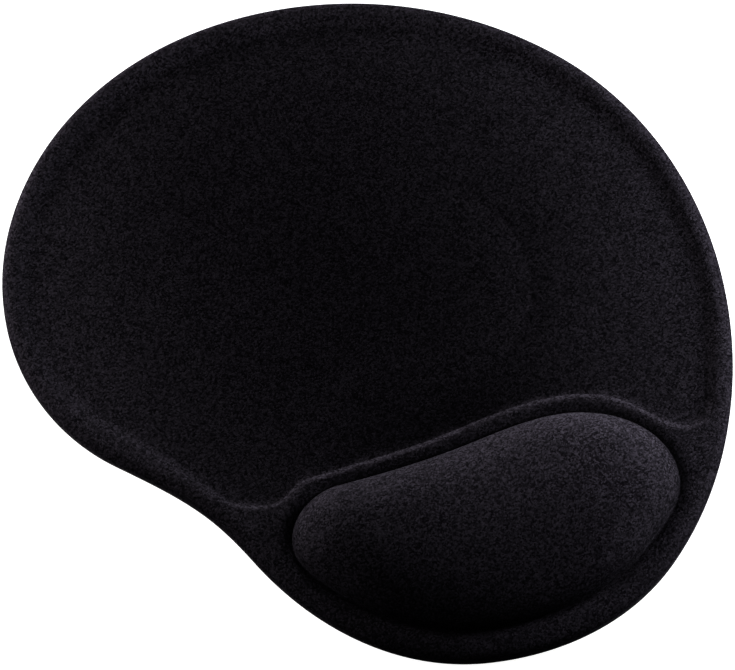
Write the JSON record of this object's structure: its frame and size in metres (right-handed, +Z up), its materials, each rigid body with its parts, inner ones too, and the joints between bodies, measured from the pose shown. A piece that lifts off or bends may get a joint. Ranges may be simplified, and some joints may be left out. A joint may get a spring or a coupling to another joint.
{
  "type": "wrist rest",
  "caption": "Comma-shaped mouse pad with a built-in gel wrist rest: knit cover over a moulded foam body with a raised rim, sunken mousing area and domed gel cushion, on a non-slip base.",
  "frame": {"origin": "on the desk face (underside of the base), at the middle of the outline's bounding box", "axes": "+X along the gel wrist rest to the user's right, +Y away from the user across the mousing area, +Z up from the desk"},
  "size_m": [0.2313, 0.2325, 0.0208],
  "materials": {
    "knit_cloth": "matt black brushed knit with a faint cool sheen at grazing angles",
    "moulded_foam": "fine-celled black polyurethane foam with a closed skin",
    "soft_gel": "soft translucent pale blue gel",
    "clear_film": "clear thermoplastic polyurethane film",
    "adhesive_film": "milky hot-melt adhesive film",
    "grip_rubber": "matt black non-slip sheet with a fine embossed texture"
  },
  "bodies": {
    "root": {"cover_cloth": "knit_cloth", "cover_bond_film": "adhesive_film", "gel_upper_film": "clear_film", "gel_fill": "soft_gel", "gel_lower_film": "clear_film", "foam_body": "moulded_foam", "base_bond_film": "adhesive_film", "non_slip_base": "grip_rubber"}
  },
  "joints": []
}
